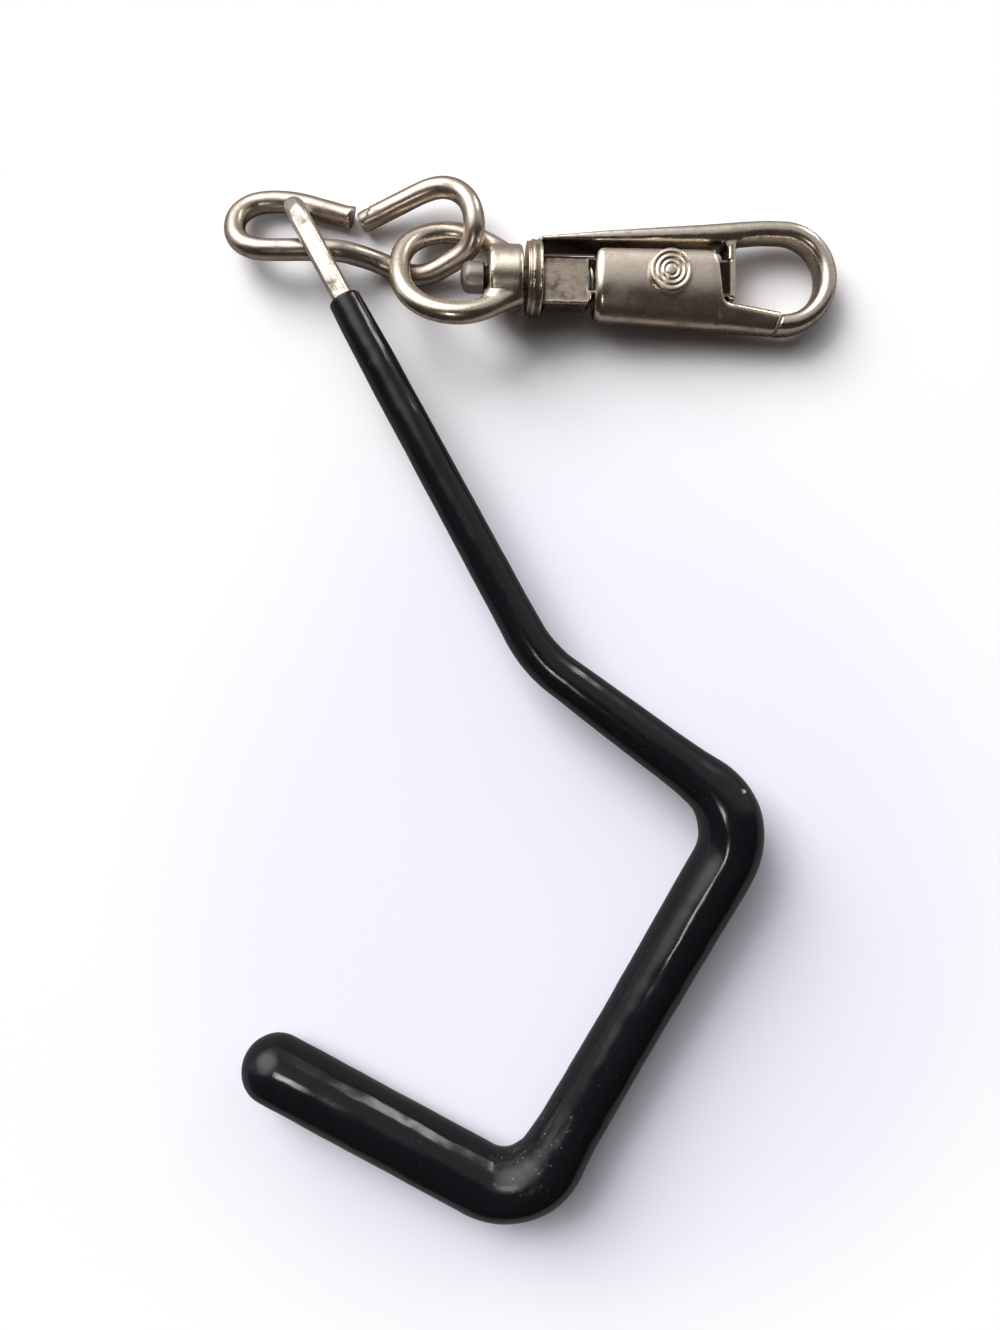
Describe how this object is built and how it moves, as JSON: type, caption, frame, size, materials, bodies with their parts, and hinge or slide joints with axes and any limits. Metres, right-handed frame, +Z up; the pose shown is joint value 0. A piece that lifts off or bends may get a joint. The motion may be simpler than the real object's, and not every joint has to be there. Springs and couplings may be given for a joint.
{
  "type": "swivel snap hook with wire link and coated hook",
  "caption": "Cast swivel snap with a sliding thumb gate, joined by an opened wire link to a bent steel hook with a thick black dipped coating.",
  "frame": {"origin": "middle of the outline, on the surface that the chain lies on", "axes": "+Z up from that surface, +X along the snap from its swivel to its loop, the coated hook reaches towards -Y"},
  "size_m": [0.1198, 0.2021, 0.0158],
  "materials": {
    "steel_rod": "satin, scratched",
    "coating": "glossy dipped vinyl, nicked and dusty in places",
    "link_wire": "satin, rough cut ends",
    "nickel": "satin nickel plate, worn",
    "pin_steel": "dull steel",
    "spring_steel": "drawn wire"
  },
  "bodies": {
    "hook": {"hook_rod": "steel_rod", "hook_coating": "coating"},
    "link": {"wire_link": "link_wire"},
    "eye": {"swivel_eye": "nickel"},
    "snap": {"snap_body": "nickel", "swivel_pin": "pin_steel", "swivel_washer": "nickel", "gate_spring": "spring_steel"},
    "gate": {"gate_sleeve": "nickel", "gate_button": "nickel"}
  },
  "joints": [
    {"name": "link_swing", "type": "hinge", "parent": "hook", "child": "link", "pos_m": [-0.04129, 0.08631, 0.0069], "axis": [1, 0, 0], "range_deg": [-135, 135]},
    {"name": "eye_roll", "type": "hinge", "parent": "link", "child": "eye", "pos_m": [-0.02613, 0.08414, 0.00221], "axis": [-0.9572, -0.2847, -0.0518], "range_deg": [-20, 25]},
    {"name": "swivel", "type": "hinge", "parent": "eye", "child": "snap", "pos_m": [-0.00079, 0.08056, 0.00736], "axis": [0.9981, 0, -0.061], "continuous": true},
    {"name": "gate_slide", "type": "slide", "parent": "snap", "child": "gate", "axis": [-0.9981, 0, 0.061], "range_m": [0, 0.009], "stiffness_N_per_m": 300, "springref_m": -0.006, "deforming": ["gate_spring"]}
  ]
}
